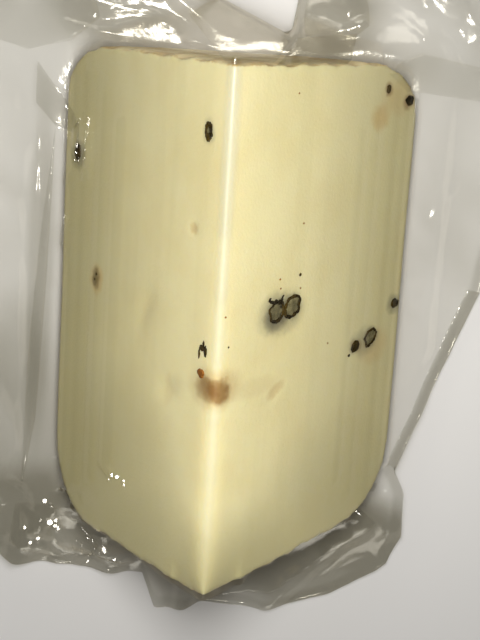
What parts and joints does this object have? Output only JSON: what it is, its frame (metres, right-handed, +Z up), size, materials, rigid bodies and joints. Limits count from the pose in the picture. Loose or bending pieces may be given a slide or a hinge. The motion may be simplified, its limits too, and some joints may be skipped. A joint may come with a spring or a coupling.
{
  "type": "sealed cheese wedge",
  "caption": "Wedge of pale peppered caciotta cheese lying on its rind, sealed in a tight clear bag with loose crumpled margins.",
  "frame": {"origin": "bottom centre of the whole pack's box, on the floor it rests on", "axes": "+Z up, +Y along the wedge's ridge towards the bag's notched end, +X to the right when the ridge is seen from above with the notched end at the top"},
  "size_m": [0.114, 0.1428, 0.0583],
  "materials": {
    "film": "clear tight film over pale cheese",
    "cheese": "smooth, slightly waxy",
    "peppercorn": "dark wrinkled skin, dull"
  },
  "bodies": {
    "root": {"caciotta_pack": "film"}
  },
  "joints": []
}
